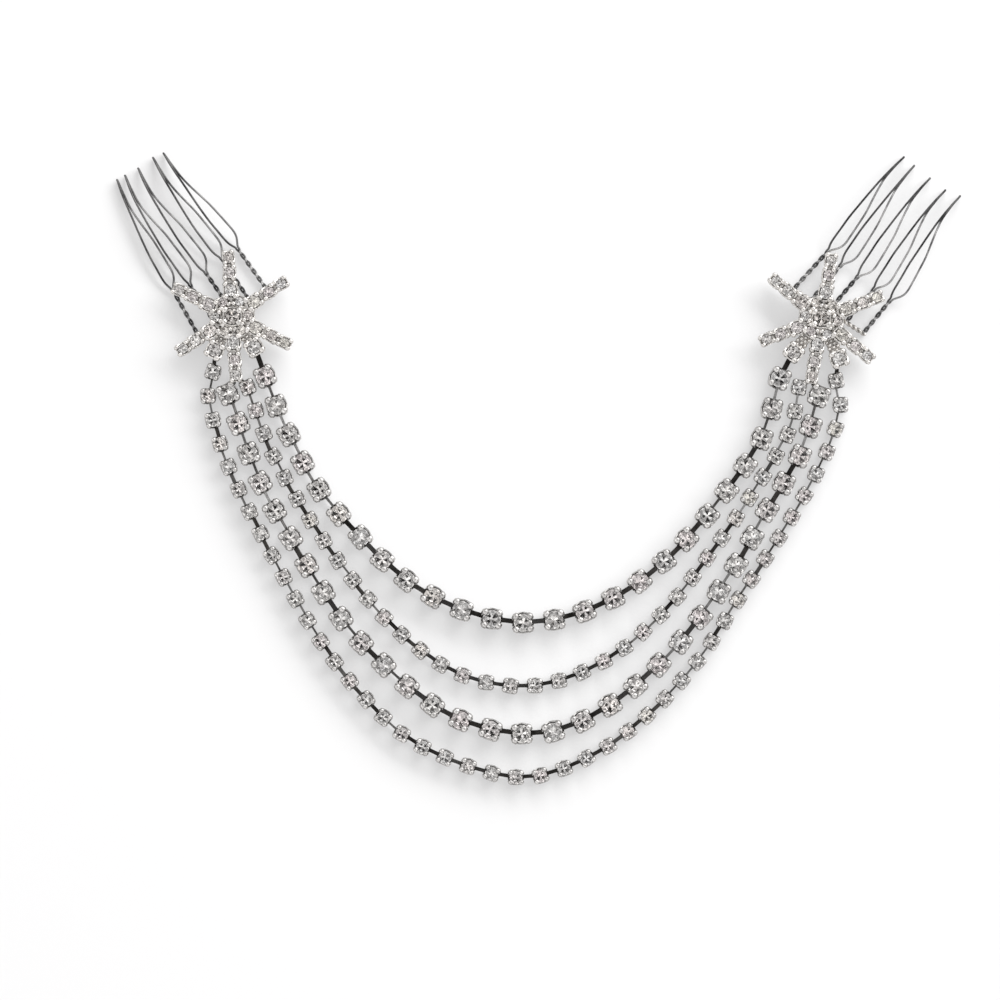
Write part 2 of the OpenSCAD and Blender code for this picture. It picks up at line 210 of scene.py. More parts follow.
def ramp(tree, value, stops):
    """The colour for a value, between stops of a place and a colour."""
    node = node_in(tree, "ShaderNodeValToRGB", {"Fac": value})
    elements = node.color_ramp.elements
    while len(elements) > len(stops):
        elements.remove(elements[-1])
    while len(elements) < len(stops):
        elements.new(1.0)
    for element, (place, colour) in zip(elements, stops):
        element.position = place
        element.color = (*colour, 1)
    return node.outputs["Color"]


def object_place(tree):
    """Where a point of the surface lies on its piece."""
    return node_in(tree, "ShaderNodeTexCoord").outputs["Object"]


def attribute(tree, name):
    """The value of that name which the surface carries."""
    return node_in(tree, "ShaderNodeAttribute", attribute_name=name).outputs["Fac"]


# Materials


def new_material(name):
    """A material and its node tree."""
    made = bpy.data.materials.new(name)
    made.use_nodes = True
    return made, made.node_tree


def set_shader(tree, values):
    """Sets the inputs of a material's shader."""
    set_inputs(tree, tree.nodes["Principled BSDF"], values)


# Between which values of the drift the tone changes, between which values of
# the fine marks the roughness does, how strong the marks are, and from which
# piece_tone on pieces are worn
DRIFT_RANGE = (0.35, 0.65)
MARK_RANGE = (0.3, 0.7)
MARK_DEPTH = 0.15
WORN_RANGE = (0.5, 1.0)


def metal(name, dark, light, rough, mottle, grain, worn=0.0, painted_light_span=None):
    """Metal whose tone drifts from dark to light over mottle, and whose fine
    marks of size grain change its roughness within rough. Some of its pieces
    are worn brighter, up to the tone worn. Where a range of the painted-light
    attribute and two factors are given, the tone is scaled from the first factor
    at the low end to the second at the high end: painted shade in the recesses,
    painted highlights on the ridges and tops."""
    made, tree = new_material(name)
    place = object_place(tree)
    drift = noise(tree, place, scale=1 / mottle, detail=3.0)
    marks = noise(tree, place, scale=1 / grain, detail=4.0)
    colour = ramp(tree, drift, tuple(zip(DRIFT_RANGE, (dark, light))))
    bump = node_in(tree, "ShaderNodeBump", {
        "Height": marks, "Strength": MARK_DEPTH, "Distance": grain})
    if worn:
        bare = map_range(tree, attribute(tree, "piece_tone"), WORN_RANGE, (0.0, worn))
        colour = vector_maths(tree, "ADD", {0: colour, 1: bare})
    # Painted light: the tone is darkened where a point is marked as lying in shade, and kept or
    # raised where it is marked as catching light.
    if painted_light_span:
        share = map_range(tree, attribute(tree, "painted_light"), *painted_light_span)
        colour = vector_maths(tree, "SCALE", {0: colour, "Scale": share})
    set_shader(tree, {
        "Base Color": colour, "Roughness": map_range(tree, marks, MARK_RANGE, rough),
        "Normal": bump.outputs["Normal"], "Metallic": 1.0})
    return made


def crystal():
    """Clear stone, tinted a little from one stone to the next."""
    made, tree = new_material("clear_crystal")
    tint = ramp(tree, attribute(tree, "piece_tone"), (
        (0.0, (0.95, 0.95, 0.96)), (0.4, (0.98, 0.97, 0.96)),
        (0.75, (0.99, 0.93, 0.94)), (1.0, (0.98, 0.96, 0.9))))
    set_shader(tree, {"Base Color": tint, "Transmission Weight": 1.0, "Roughness": 0.0, "IOR": 1.57})
    return made


def foil():
    """The silvered back of a stone, whose facets differ in tone at random: painted shade on some
    facets and painted light on the others, for the dark and bright that they mirror.
    """
    made, tree = new_material("silvered_back")
    tone = ramp(tree, attribute(tree, "facet_painted_light"), (
        (0.0, (0.45, 0.44, 0.43)), (0.35, (0.88, 0.87, 0.86)), (1.0, (0.98, 0.98, 0.97))))
    set_shader(tree, {"Base Color": tone, "Metallic": 1.0, "Roughness": 0.09})
    return made


# Range of the painted-light attribute, and the tone's factors at its two ends: the lower factor is
# painted shade, the higher one painted highlight. On the wires the highlight is painted up to four
# times as bright.
CUP_PAINTED_LIGHT = ((0.1, 0.9), (0.3, 0.9))
STAR_PAINTED_LIGHT = ((0.1, 0.9), (0.75, 1.0))
WIRE_PAINTED_LIGHT = ((0.75, 1.0), (1.0, 4.0))
CHAIN_SILVER = metal(
    "chain_silver", dark=(0.6, 0.585, 0.57), light=(0.86, 0.84, 0.82),
    rough=(0.08, 0.2), mottle=3 * MM, grain=0.25 * MM, painted_light_span=CUP_PAINTED_LIGHT)
STAR_SILVER = metal(
    "star_silver", dark=(0.62, 0.6, 0.575), light=(0.9, 0.87, 0.835),
    rough=(0.12, 0.24), mottle=2 * MM, grain=0.2 * MM, painted_light_span=STAR_PAINTED_LIGHT)
LINK_BLACK = metal(
    "link_black", dark=(0.025, 0.023, 0.021), light=(0.06, 0.056, 0.052),
    rough=(0.14, 0.24), mottle=1.5 * MM, grain=0.15 * MM, worn=0.06)
# A lighter copy of the links' metal for the narrow links, which are turned on edge: painted sheen
# where they catch the light.
LINK_PAINTED_SHEEN = metal(
    "link_painted_sheen", dark=(0.09, 0.086, 0.082), light=(0.2, 0.195, 0.19),
    rough=(0.16, 0.28), mottle=1.5 * MM, grain=0.15 * MM, worn=0.2)
COMB_WIRE = metal(
    "comb_wire", dark=(0.05, 0.05, 0.051), light=(0.18, 0.178, 0.176),
    rough=(0.16, 0.3), mottle=4 * MM, grain=0.2 * MM, painted_light_span=WIRE_PAINTED_LIGHT)
CRYSTAL = crystal()
FOIL = foil()


# Shapes that repeat


def shape(name, bm, crease=None):
    """A mesh object from bm, which it frees. It is smooth where a crease is
    given, but for edges sharper than that."""
    bmesh.ops.recalc_face_normals(bm, faces=bm.faces)
    mesh = bpy.data.meshes.new(name)
    bm.to_mesh(mesh)
    bm.free()
    if crease is not None:
        mesh.shade_smooth()
        mesh.set_sharp_from_angle(angle=crease)
    made = bpy.data.objects.new(name, mesh)
    bpy.context.scene.collection.objects.link(made)
    return made


def label(mesh, name, kind, domain, values):
    """A named value for each point or face of a mesh."""
    key = "vector" if kind == "FLOAT_VECTOR" else "value"
    mesh.attributes.new(name, kind, domain).data.foreach_set(key, values)


def skin(bm, rings, closed_ends=True, ring_closed=True):
    """Walls between rings of corners, and a face over each end."""
    n = len(rings[0])
    for a, b in zip(rings, rings[1:]):
        for i in range(n if ring_closed else n - 1):
            j = (i + 1) % n
            bm.faces.new((a[i], a[j], b[j], b[i]))
    if closed_ends:
        bm.faces.new(rings[0])
        bm.faces.new(rings[-1])


CUP_CREASE = math.radians(50)
WALL_STEPS = 40
# The height of the wall behind the prongs, and how much lower it is between
# them, as shares of the cup's height
WALL_TOP = 0.84
WALL_DIP = 0.3
# How far the edges of the foot and rim are rounded, as a share of the slope and
# of the wall, and how far the rounded rim stands up
EDGE_SHARE = 0.3
RIM_RISE = 0.03 * MM
# Painted light at the points of a wall's section: its foot and outside, its rim, its inside.
# It is painted shade at the foot, darkest deep inside the cup and on its floor, and lightest on the
# outside.
WALL_PAINTED_LIGHT = (0.3, 0.5, 0.8, 0.7, 0.45, 0.45, 0.45, 0, 0)
# Half the angle of the slot that a link goes through
SLOT_HALF = math.radians(16)


def wall_top(a, height, slots):
    """How high a cup's wall stands at angle a: high behind the prongs, cut down
    to a slot where a link goes in."""
    side = abs((a + math.pi / 2) % math.pi - math.pi / 2)
    if slots and side < SLOT_HALF:
        return CUP_FLOOR + LINK_PLAY / 2
    return height * (WALL_TOP - WALL_DIP * math.cos(2 * a) ** 2)


def add_bowl(bm, width, height, square, slots):
    """A cup's foot, floor and wall, which bulges behind the prongs."""
    painted_light = bm.verts.layers.float["painted_light"]
    foot = FOOT_SLOPE * min(1, width / CUP["small"][0])
    rings = []
    for k in range(WALL_STEPS):
        a = 2 * math.pi * k / WALL_STEPS
        r = width / 2 * (1 + square * math.sin(2 * a) ** 2)
        top = wall_top(a, height, slots)
        section = (
            (r - foot, 0), (r - foot * EDGE_SHARE, foot * EDGE_SHARE), (r, foot),
            (r, (foot + top) / 2), (r, top),
            (r - CUP_WALL * EDGE_SHARE, top + RIM_RISE), (r - CUP_WALL, top),
            (r - CUP_WALL, CUP_FLOOR + foot), (r - CUP_WALL - foot, CUP_FLOOR))
        rings.append([bm.verts.new(q * heading(a) + up(z)) for q, z in section])
        # Each point of the section takes its painted light: painted shade inside the cup and at its
        # foot.
        for corner, bright in zip(rings[-1], WALL_PAINTED_LIGHT):
            corner[painted_light] = bright
    skin(bm, rings + [rings[0]], closed_ends=False, ring_closed=False)
    bm.faces.new([ring[0] for ring in rings])
    bm.faces.new([ring[-1] for ring in rings])


# A prong of a large cup from its root to its tip: distance out from the wall
# in millimetres, height over the wall's full height as a share of the cup's
# width, half its width as an angle in radians, thickness in millimetres
PRONG = (
    (-0.12, -0.36, 0.26, 0.3),
    (0.02, -0.30, 0.31, 0.42),
    (0.11, -0.20, 0.35, 0.5),
    (0.16, -0.08, 0.36, 0.54),
    (0.12, 0.01, 0.355, 0.55),
    (-0.02, 0.055, 0.34, 0.5),
    (-0.24, 0.085, 0.31, 0.42),
    (-0.5, 0.09, 0.28, 0.36),
    (-0.8, 0.075, 0.21, 0.28),
    (-0.98, 0.055, 0.1, 0.16))
# Painted light along a prong, from painted shade at its root to a painted highlight where it
# hooks over the stone, less at its very tip, and the share of that at its edges and inside, which are
# painted in shade
PRONG_PAINTED_LIGHT = (0.4, 0.5, 0.6, 0.65, 0.75, 0.9, 1, 1, 0.8, 0.4)
PRONG_SHADE = 0.3
# The points of its section, in half widths across and half thicknesses out
PRONG_SECTION = (
    (-1, 0), (-0.78, 0.72), (0, 1), (0.78, 0.72), (1, 0), (0.78, -0.72), (0, -1), (-0.78, -0.72))
# How far its sides curve back towards the wall, in millimetres
PRONG_CURL = 0.24


def add_prong(bm, width, height, square, turn, stout):
    """A prong that rises beside a cup's wall and hooks over the stone. A stout
    one is thicker and stands further out."""
    painted_light = bm.verts.layers.float["painted_light"]
    scale = width / CUP["large"][0]
    wall = width / 2 * (1 + square)
    line = [
        (wall + max(out, out * stout) * MM * scale, height + rise * width)
        for out, rise, _, _ in PRONG]
    rings = []
    for i, (_, _, wide, thick) in enumerate(PRONG):
        before = Vector(line[max(i - 1, 0)])
        after = Vector(line[min(i + 1, len(line) - 1)])
        along = (after - before).normalized()
        q, z = line[i]
        ring = []
        for u, v in PRONG_SECTION:
            off = v * thick / 2 * MM * scale * math.sqrt(stout)
            far = q + off * along.y - PRONG_CURL * u * u * MM * scale
            corner = bm.verts.new(far * heading(turn + u * wide) + up(z - off * along.x))
            # Painted highlight on the prong's outer top, painted shade at its edges and inside.
            corner[painted_light] = PRONG_PAINTED_LIGHT[i] * (PRONG_SHADE + (1 - PRONG_SHADE) * max(v, 0))
            ring.append(corner)
        rings.append(ring)
    skin(bm, rings)


def cup_shape(name, width, height, square, prong_turn, stout=1.0, slots=False):
    """A cup at the origin, with four prongs at that turn from its long axis."""
    bm = bmesh.new()
    bm.verts.layers.float.new("painted_light")
    add_bowl(bm, width, height, square, slots)
    for turn in (prong_turn, math.pi - prong_turn, math.pi + prong_turn, -prong_turn):
        add_prong(bm, width, height, square, turn, stout)
    return shape(name, bm, crease=CUP_CREASE)


# Seed for the painted light and shade of a stone's facets
FACET_SEED = 7


def stone_shape(name, width, room):
    """A round brilliant whose girdle's top lies at the origin. Its pavilion goes
    no deeper than room."""
    r = width / 2
    crown = CROWN_SHARE * width
    girdle = GIRDLE_SHARE * width
    depth = min(PAVILION_SHARE * width, room - girdle)
    # How far out the middle of an eight-sided ring's side lies
    side = math.cos(math.pi / 8)
    kite_z = crown * (1 - KITE_OUT * side) / (1 - TABLE_OUT)
    break_z = -girdle - depth * (1 - BREAK_OUT * side)
    bm = bmesh.new()

    def corner(share, step, z):
        return bm.verts.new(share * r * heading(step * math.pi / 8) + up(z))

    table = [corner(TABLE_OUT, 2 * k, crown) for k in range(8)]
    kites = [corner(KITE_OUT, 2 * k + 1, kite_z) for k in range(8)]
    upper = [corner(1, k, 0) for k in range(16)]
    lower = [corner(1, k, -girdle) for k in range(16)]
    breaks = [corner(BREAK_OUT, 2 * k + 1, break_z) for k in range(8)]
    culet = corner(0, 0, -girdle - depth)
    bm.faces.new(table)
    back = []
    for k in range(8):
        n = (k + 1) % 8
        g = [upper[(2 * k + i) % 16] for i in range(3)]
        h = [lower[(2 * k + i) % 16] for i in range(3)]
        bm.faces.new((table[k], table[n], kites[k]))
        bm.faces.new((table[k], kites[k - 1], upper[2 * k], kites[k]))
        bm.faces.new((kites[k], g[0], g[1]))
        bm.faces.new((kites[k], g[1], g[2]))
        bm.faces.new((g[0], g[1], h[1], h[0]))
        bm.faces.new((g[1], g[2], h[2], h[1]))
        back.append(bm.faces.new((breaks[k], h[0], h[1])))
        back.append(bm.faces.new((breaks[k], h[1], h[2])))
        back.append(bm.faces.new((culet, breaks[k - 1], lower[2 * k], breaks[k])))
    bm.faces.index_update()
    silvered = {f.index for f in back}
    made = shape(name, bm)
    draw = random.Random(FACET_SEED)
    faces = range(len(made.data.polygons))
    label(made.data, "foil", "BOOLEAN", "FACE", [i in silvered for i in faces])
    # Random painted light and shade for each facet of the silvered back.
    label(made.data, "facet_painted_light", "FLOAT", "FACE", [draw.random() for _ in faces])
    return made


BAR_CREASE = math.radians(40)
# The width of a link's middle, as a share of its width beside the heads
LINK_WAIST = 0.94


def add_bar(bm, start, end, width, low, high, chamfer, bulges=()):
    """A flat bar from start to end, with bevelled edges and ends. A bulge is a
    place along it and the width there."""
    along = (end - start).normalized()
    across = left_of(along)
    length = (end - start).length
    stations = [(0, width - 2 * chamfer, chamfer), (chamfer, width, 0)]
    stations += [(place, wide, 0) for place, wide in bulges]
    stations += [(length - chamfer, width, 0), (length, width - 2 * chamfer, chamfer)]
    rings = []
    for place, wide, inset in stations:
        w = wide / 2
        section = (
            (-w, low + chamfer), (-w + chamfer, low + inset),
            (w - chamfer, low + inset), (w, low + chamfer),
            (w, high - chamfer), (w - chamfer, high - inset),
            (-w + chamfer, high - inset), (-w, high - chamfer))
        rings.append([bm.verts.new(start + place * along + s * across + up(z)) for s, z in section])
    skin(bm, rings)


def link_reach(kind):
    """From a cup's centre to the far end of the link's head inside it."""
    width = CUP[kind][0]
    room = LINK[kind][0] / 2 + HEAD_LIP + LINK_PLAY
    return math.sqrt((width / 2 - CUP_WALL) ** 2 - room ** 2) - LINK_PLAY - HEAD_L


def link_shape(kind, length):
    """A link of that length with a head at each end, its middle at the origin."""
    w, t = LINK[kind]
    low = CUP_FLOOR + LINK_PLAY
    head = w + 2 * HEAD_LIP
    bm = bmesh.new()
    half = length / 2
    add_bar(bm, Vector((-half, 0, 0)), Vector((half, 0, 0)), head, low, low + t, LINK_EDGE, (
        (HEAD_L - LINK_EDGE, head), (HEAD_L, w), (half, w * LINK_WAIST),
        (length - HEAD_L, w), (length - HEAD_L + LINK_EDGE, head)))
    return shape(f"link_{kind}", bm, crease=BAR_CREASE)


# Trees that set shapes on seats and sweep wires


def socket(tree, name, kind, value=None, out=False):
    """Adds a named input or output to a tree, with its default value if given."""
    item = tree.interface.new_socket(name=name, in_out="OUTPUT" if out else "INPUT", socket_type=kind)
    if value is not None:
        item.default_value = value


def named(tree, name, kind):
    """The value of that name which each point or face carries."""
    node = node_in(tree, "GeometryNodeInputNamedAttribute", {"Name": name}, data_type=kind)
    return node.outputs["Attribute"]


def seating_tree():
    """Sets a shape on every point: rolled and turned by the point's roll and
    turn, sized by its size, leaned and spun a little at random."""
    tree = bpy.data.node_groups.new("set_on_seats", "GeometryNodeTree")
    socket(tree, "Geometry", "NodeSocketGeometry", out=True)
    socket(tree, "Seats", "NodeSocketGeometry")
    socket(tree, "Shape", "NodeSocketObject")
    socket(tree, "Finish", "NodeSocketMaterial")
    socket(tree, "Backing", "NodeSocketMaterial")
    socket(tree, "Lean", "NodeSocketFloat", 0.0)
    socket(tree, "Spin", "NodeSocketFloat", 0.0)
    socket(tree, "Seed", "NodeSocketInt", 1)
    given = node_in(tree, "NodeGroupInput").outputs
    info = node_in(tree, "GeometryNodeObjectInfo", {"Object": given["Shape"]})

    def around(reach, seed_step):
        """A random number between -reach and reach."""
        draw = node_in(tree, "FunctionNodeRandomValue", {
            2: maths(tree, "MULTIPLY", given[reach], -1.0), 3: given[reach],
            "Seed": maths(tree, "ADD", given["Seed"], float(seed_step))}, data_type="FLOAT")
        return draw.outputs[1]

    pose = node_in(tree, "ShaderNodeCombineXYZ", {
        "X": maths(tree, "ADD", named(tree, "roll", "FLOAT"), around("Lean", 0)),
        "Y": around("Lean", 1),
        "Z": maths(tree, "ADD", named(tree, "turn", "FLOAT"), around("Spin", 2))})
    placed = node_in(tree, "GeometryNodeInstanceOnPoints", {
        "Points": given["Seats"], "Instance": info.outputs["Geometry"],
        "Rotation": pose.outputs["Vector"], "Scale": named(tree, "size", "FLOAT_VECTOR")})
    tone = node_in(tree, "FunctionNodeRandomValue", {"Seed": given["Seed"]}, data_type="FLOAT")
    toned = node_in(tree, "GeometryNodeStoreNamedAttribute", {
        "Geometry": placed.outputs["Instances"], "Name": "piece_tone",
        "Value": tone.outputs[1]}, data_type="FLOAT", domain="INSTANCE")
    solid = node_in(tree, "GeometryNodeRealizeInstances", {"Geometry": toned.outputs["Geometry"]})
    finished = node_in(tree, "GeometryNodeSetMaterial", {
        "Geometry": solid.outputs["Geometry"], "Material": given["Finish"]})
    backed = node_in(tree, "GeometryNodeSetMaterial", {
        "Geometry": finished.outputs["Geometry"], "Selection": named(tree, "foil", "BOOLEAN"),
        "Material": given["Backing"]})
    node_in(tree, "NodeGroupOutput", {"Geometry": backed.outputs["Geometry"]})
    return tree


def wire_tree():
    """Sweeps a round wire along every line of points."""
    tree = bpy.data.node_groups.new("round_wire", "GeometryNodeTree")
    socket(tree, "Geometry", "NodeSocketGeometry", out=True)
    socket(tree, "Lines", "NodeSocketGeometry")
    socket(tree, "Radius", "NodeSocketFloat", 1 * MM)
    socket(tree, "Sides", "NodeSocketInt", 8)
    socket(tree, "Finish", "NodeSocketMaterial")
    given = node_in(tree, "NodeGroupInput").outputs
    line = node_in(tree, "GeometryNodeMeshToCurve", {"Mesh": given["Lines"]})
    ring = node_in(tree, "GeometryNodeCurvePrimitiveCircle", {
        "Resolution": given["Sides"], "Radius": given["Radius"]})
    swept = node_in(tree, "GeometryNodeCurveToMesh", {
        "Curve": line.outputs["Curve"], "Profile Curve": ring.outputs["Curve"], "Fill Caps": True})
    smooth = node_in(tree, "GeometryNodeSetShadeSmooth", {"Geometry": swept.outputs["Mesh"]})
    solid = node_in(tree, "GeometryNodeRealizeInstances", {"Geometry": smooth.outputs["Geometry"]})
    finished = node_in(tree, "GeometryNodeSetMaterial", {
        "Geometry": solid.outputs["Geometry"], "Material": given["Finish"]})
    node_in(tree, "NodeGroupOutput", {"Geometry": finished.outputs["Geometry"]})
    return tree


SEATING = seating_tree()
WIRE = wire_tree()


def grow(name, mesh, tree, inputs):
    """An object at the origin whose plain mesh is what the tree makes of mesh."""
    made = bpy.data.objects.new(name, mesh)
    bpy.context.scene.collection.objects.link(made)
    modifier = made.modifiers.new("grow", "NODES")
    modifier.node_group = tree
    for item in tree.interface.items_tree:
        if item.in_out == "INPUT" and item.name in inputs:
            modifier[item.identifier] = inputs[item.name]
    grown = made.evaluated_get(bpy.context.evaluated_depsgraph_get())
    result = bpy.data.meshes.new_from_object(grown)
    made.modifiers.clear()
    made.data = result
    return made


def spot(place, turn, size=(1, 1, 1), roll=0.0):
    """A seat for a shape: where it goes, its turn, its stretch and its roll."""
    return place, turn, size, roll


def seats_mesh(name, seats):
    """Points that carry the turn, size and roll of the seats."""
    mesh = bpy.data.meshes.new(name)
    mesh.from_pydata([place for place, _, _, _ in seats], [], [])
    label(mesh, "turn", "FLOAT", "POINT", [turn for _, turn, _, _ in seats])
    label(mesh, "roll", "FLOAT", "POINT", [roll for _, _, _, roll in seats])
    label(mesh, "size", "FLOAT_VECTOR", "POINT", [n for _, _, size, _ in seats for n in size])
    return mesh


def seat(name, seats, made, finish, seed, backing=None, lean=0.0, spin=0.0):
    """The shape made, set on all the seats as one mesh. Its silvered faces get
    the backing."""
    return grow(name, seats_mesh(name, seats), SEATING, {
        "Shape": made, "Finish": finish, "Backing": backing or finish,
        "Lean": lean, "Spin": spin, "Seed": seed})


def lines_mesh(name, lines):
    """Lines of points, each with the painted light of the wire there."""
    mesh = bpy.data.meshes.new(name)
    points = [p for line in lines for p, _ in line]
    edges = []
    start = 0
    for line in lines:
        edges += [(start + i, start + i + 1) for i in range(len(line) - 1)]
        start += len(line)
    mesh.from_pydata(points, edges, [])
    label(mesh, "painted_light", "FLOAT", "POINT", [painted_light for line in lines for _, painted_light in line])
    return mesh


def join(name, parts):
    """One object from several at the origin, which it removes."""
    keep = parts[0]
    with bpy.context.temp_override(active_object=keep, object=keep, selected_editable_objects=parts):
        if len(parts) > 1:
            bpy.ops.object.join()
    keep.name = name
    keep.data.name = name
    return keep


def hand_over(piece, slot, *nodes):
    """Says what a finished piece moves with and which parts it stands for. The slot is not used."""
    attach(piece, "root")
    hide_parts(*nodes)


# Shapes that are only set on seats, and go when all seats are filled
scratch = []

# Seeds: for the links' rolls, and for the random turns and tones of the pieces
# set on seats, to which each object adds its number
ROLL_SEED = 3
CHAIN_CUP_SEED = 10
CHAIN_STONE_SEED = 20
LINK_SEED = 30
STAR_STONE_SEED = 40
STAR_CUP_SEED = 60
GRAIN_SEED = 80
SEED_STEP = 10


# The strands

# How far a link may have rolled over, and the share of its width that a narrow
# one has
LINK_ROLL = math.radians(24)
NARROW_LINK = 0.55
# How far a cup's wall bulges behind the prongs, as a share, how much longer
# and wider than its seat it is, and where its prongs stand
CUP_SQUARE = 0.05
CUP_STRETCH = {"large": (1.03, 1.01, 1), "small": (1, 0.98, 1)}
PRONG_TURN = math.radians(43)
# The most that cups are spun, and stones leaned and spun
CUP_SPIN = math.radians(8)
STONE_LEAN = math.radians(4)
STONE_SPIN = math.radians(22)
rolls = random.Random(ROLL_SEED)


def turns_along(line):
    """The direction of the chain at each cup."""
    last = len(line) - 1
    return [angle_of(line[min(i + 1, last)] - line[max(i - 1, 0)]) for i in range(len(line))]


def link_width(way):
    """The share of its width that a link shows: the steeper its chain runs, the
    likelier it is a narrow one."""
    steep = abs(way.normalized().y)
    return NARROW_LINK if rolls.random() < steep ** 3 else 1


def link_roll(way):
    """How far a link has rolled over: the more, the steeper its chain runs."""
    return rolls.uniform(-1, 1) * LINK_ROLL * abs(way.normalized().y) ** 2


def link_spot(a, b, gap, length):
    """The seat between two cups of a link which is that long where they stand
    gap apart. Its width is drawn before its roll."""
    way = b - a
    width = link_width(way)
    stretch = (way.length - gap + length) / length
    return spot((a + b) / 2, angle_of(way), (stretch, width, 1), link_roll(way))


CUP_SHAPES = {
    kind: cup_shape(f"cup_{kind}", *CUP[kind], CUP_SQUARE, PRONG_TURN, slots=True) for kind in CUP}
STONE_SHAPES = {
    kind: stone_shape(f"stone_{kind}", width - 2 * CUP_WALL - 2 * CHAIN_STONE_PLAY,
                      height - GIRDLE_DROP - CUP_FLOOR - CHAIN_STONE_PLAY)
    for kind, (width, height) in CUP.items()}
scratch += [*CUP_SHAPES.values(), *STONE_SHAPES.values()]


def strand(number, node):
    """A strand's cups, stones and links."""
    kind = STRAND_KIND[node]
    line = SPOTS[node]
    turns = turns_along(line)
    cups = seat(
        f"{node}_cups", [spot(p, t, CUP_STRETCH[kind]) for p, t in zip(line, turns)],
        CUP_SHAPES[kind], CHAIN_SILVER, CHAIN_CUP_SEED + number, spin=CUP_SPIN)
    hand_over(cups, "cup_chain", node)
    girdle = up(CUP[kind][1] - GIRDLE_DROP)
    stones = seat(
        f"{node}_stones", [spot(p + girdle, t) for p, t in zip(line, turns)],
        STONE_SHAPES[kind], CRYSTAL, CHAIN_STONE_SEED + number,
        backing=FOIL, lean=STONE_LEAN, spin=STONE_SPIN)
    hand_over(stones, "crystal", node)
    gap = (line[1] - line[0]).length
    length = gap - 2 * link_reach(kind)
    bar = link_shape(kind, length)
    scratch.append(bar)
    links = [link_spot(a, b, gap, length) for a, b in zip(line, line[1:])]
    # Narrow links take the lighter copy of the metal: painted sheen.
    for share, look, finish in ((1, "wide", LINK_BLACK), (NARROW_LINK, "narrow", LINK_PAINTED_SHEEN)):
        chosen = [link for link in links if link[2][1] == share]
        piece = seat(f"{node}_{look}_links", chosen, bar, finish, LINK_SEED + number)
        hand_over(piece, "link_dark", node)


for number, node in enumerate(STRANDS):
    strand(number, node)


# The combs

# Middle of the cross bar from the star's centre in millimetres, its direction
# in degrees, the power by which a tooth's two wires turn on edge towards its
# tip (below 1: early), and the painted highlight on a tooth's right leg, which
# fades towards the tip
COMBS = {
    "left": ((0.3, 0.5), 31, 1, 0.84),
    "right": ((1.8, 1.8), -32.3, 0.5, 0.93),
}
# The teeth from left to right: turn of the stem from the bar's normal in
# degrees, its length as a share of STEM_L, turn of the open part in degrees,
# its length as a share of TOOTH_L, its sway as a share of TOOTH_SWAY, its rise
# as a share of TOOTH_RISE
TEETH = {
    "left": (
        (-1.5, 1.05, -4.2, 1, 0.7, 0.4),
        (2, 0.96, -0.2, 1.03, 1.2, 1),
        (3, 1, 2, 1.01, 1, 1),
        (2.5, 1.08, 3.3, 0.99, 0.7, 1),
        (4.5, 1.09, 6.9, 0.98, 0.6, 1)),
    "right": (
        (-10, 1.02, -6.6, 0.98, 1, 1),
        (-8.5, 0.92, -4, 1, 0.7, 1),
        (-8, 0.9, -4, 0.99, 1, 1),
        (-8, 0.86, -3.5, 0.99, 1.1, 1),
        (-7, 0.84, -1.5, 1.02, 1.2, 1)),
}
# Form of a tooth: share of its length, half width as a share of the widest,
# sway as a share of the tooth's
TOOTH_FORM = (
    (0, 0, 0), (0.04, 0.45, -0.3), (0.08, 0.82, -0.7), (0.13, 1, -0.9), (0.21, 1, -0.7),
    (0.32, 0.96, -0.3), (0.44, 0.82, 0), (0.56, 0.56, 0.5), (0.66, 0.34, 0.85), (0.74, 0.21, 1),
    (0.8, 0.17, 0.95), (0.86, 0.1, 0.75), (0.92, 0, 0.5), (0.96, 0, 0.25), (1, 0, 0))
TOOTH_PITCH = 4.75 * MM
TOOTH_L = 28.6 * MM
TOOTH_W = 2.8 * MM
TOOTH_SWAY = 0.6 * MM
TOOTH_RISE = 1.6 * MM
STEM_L = 11.6 * MM
# The wires: their diameter, how far they lie from a stem's middle, the pitch of
# their twist there, and the step between the points of their lines
WIRE_D = 0.5 * MM
TWIST_R = 0.29 * MM
TWIST_PITCH = 4.3 * MM
WIRE_STEP = 0.35 * MM
WIRE_SIDES = 10
# A tooth's tip: where its wires start to turn on edge, the radius of its end,
# the steps round that, and the painted light on it, which rises towards the end
TIP_TWIST = 0.71
TIP_R = 0.25 * MM
TIP_STEPS = 8
TIP_PAINTED_LIGHT = 0.5
# The cross bar, of two twisted wires
BAR_D = 1.2 * MM
BAR_MID = BAR_D / 2
ROPE_D = BAR_D / 2
ROPE_PITCH = 2.6 * MM
ROPE_SIDES = 12


def between(rows, share, column):
    """A smooth curve through a table's rows, whose first column is the place."""
    i = max(k for k in range(len(rows) - 1) if rows[k][0] <= share or k == 0)
    a, b = rows[i], rows[i + 1]

    def slope(k):
        lo, hi = rows[max(k - 1, 0)], rows[min(k + 1, len(rows) - 1)]
        return (hi[column] - lo[column]) / (hi[0] - lo[0])

    span = b[0] - a[0]
    t = (share - a[0]) / span
    return (
        a[column] * (2 * t ** 3 - 3 * t ** 2 + 1) + b[column] * (3 * t ** 2 - 2 * t ** 3)
        + span * (slope(i) * (t ** 3 - 2 * t ** 2 + t) + slope(i + 1) * (t ** 3 - t ** 2)))


